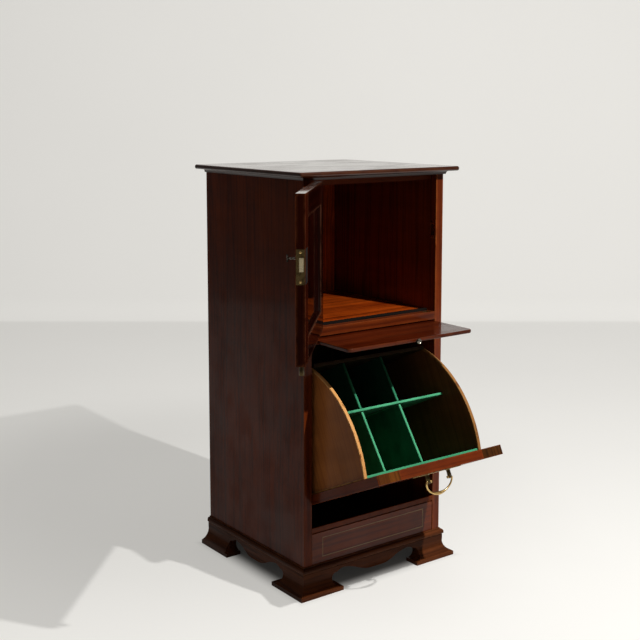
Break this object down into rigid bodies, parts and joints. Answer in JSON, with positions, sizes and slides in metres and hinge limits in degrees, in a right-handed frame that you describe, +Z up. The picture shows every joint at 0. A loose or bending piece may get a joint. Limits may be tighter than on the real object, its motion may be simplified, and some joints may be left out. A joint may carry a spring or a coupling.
{
  "type": "cellarette",
  "caption": "Upright mahogany cellarette with a lockable cupboard door, a brushing slide, a tilting divided bottle bin with a bail handle, and an ogee bracket base.",
  "frame": {"origin": "floor level at the middle of the space the cabinet takes up in its open rest pose", "axes": "+Z up, +X to the cabinet's right as seen from its front, the front faces -Y"},
  "size_m": [0.6566, 0.7108, 0.9597],
  "materials": {
    "mahogany": "french polished, dark red-brown",
    "mahogany_inner": "oiled, lighter brown",
    "secondary_wood": "bare aged softwood",
    "ebonised_wood": "black stained and polished",
    "boxwood": "pale inlay, polished",
    "baize": "green woollen baize on thin board",
    "brass": "aged, polished",
    "steel": "dull aged steel"
  },
  "bodies": {
    "carcass": {"side_left": "mahogany", "side_right": "mahogany", "back_panel": "secondary_wood", "top_board": "mahogany", "top_moulding": "mahogany", "top_rail": "mahogany", "base_moulding": "mahogany", "bracket_base_front": "mahogany", "bracket_base_left": "mahogany", "bracket_base_right": "mahogany", "rear_feet": "secondary_wood", "glue_blocks": "secondary_wood", "frieze_panel": "mahogany", "frieze_string": "boxwood", "lower_rail": "mahogany", "bottom_board": "secondary_wood", "bin_pivot_pins": "brass", "bin_pivot_washers": "brass", "strike_plate": "brass", "hinge_leaves_fixed": "brass", "hinge_pins": "brass", "cupboard_floor": "mahogany", "front_rail": "mahogany", "bolt_keeper": "brass", "door_stop_strip": "ebonised_wood", "slide_rail": "mahogany", "slide_runners": "secondary_wood", "dust_board": "secondary_wood", "bin_stop_batten": "secondary_wood"},
    "door": {"door_hinge_stile": "mahogany", "door_lock_stile": "mahogany", "door_rail_top": "mahogany", "door_rail_bottom": "mahogany", "door_panel": "mahogany", "door_bead": "mahogany", "hinge_leaves_door": "brass", "lock_case": "steel", "lock_faceplate": "brass", "key_escutcheon": "brass"},
    "key": {"key": "steel"},
    "lock_bolt": {"lock_bolt": "brass"},
    "shoot_bolt": {"shoot_bolt": "brass"},
    "slide": {"slide_board": "mahogany", "slide_knob": "brass"},
    "bin": {"fall_stile_left": "mahogany", "fall_stile_right": "mahogany", "fall_rail_top": "mahogany", "fall_rail_bottom": "mahogany", "fall_panel": "mahogany", "quadrant_left": "mahogany_inner", "quadrant_right": "mahogany_inner", "bin_floor": "mahogany_inner", "bin_back": "mahogany_inner", "bin_lining": "baize", "divider_cross": "baize", "divider_left": "baize", "divider_right": "baize", "handle_backplate": "brass", "handle_posts": "brass"},
    "bail": {"handle_bail": "brass"}
  },
  "joints": [
    {"name": "door_hinge", "type": "hinge", "parent": "carcass", "child": "door", "pos_m": [-0.0868, -0.06608, 0.6127], "axis": [0, 0, 1], "range_deg": [-43, 132]},
    {"name": "key_turn", "type": "hinge", "parent": "door", "child": "key", "pos_m": [-0.31023, -0.31945, 0.8152], "axis": [0.7431, -0.6691, 0], "range_deg": [0, 90]},
    {"name": "lock_bolt_draw", "type": "slide", "parent": "door", "child": "lock_bolt", "axis": [0.6691, 0.7431, 0], "range_m": [0, 0.007]},
    {"name": "shoot_bolt_draw", "type": "slide", "parent": "door", "child": "shoot_bolt", "axis": [0, 0, 1], "range_m": [0, 0.02]},
    {"name": "slide_push", "type": "slide", "parent": "carcass", "child": "slide", "axis": [0, 1, 0], "range_m": [-0.1, 0.132]},
    {"name": "bin_tilt", "type": "hinge", "parent": "carcass", "child": "bin", "pos_m": [0.0958, 0.02042, 0.262], "axis": [1, 0, 0], "range_deg": [-65, 0]},
    {"name": "bail_swing", "type": "hinge", "parent": "bin", "child": "bail", "pos_m": [0.0958, -0.28265, 0.29233], "axis": [1, 0, 0], "range_deg": [-25, 75]}
  ],
  "couplings": [
    {"joint": "lock_bolt_draw", "follows": "shoot_bolt_draw", "ratio": 0.35},
    {"joint": "key_turn", "follows": "shoot_bolt_draw", "rad_per_m": 78.5}
  ]
}
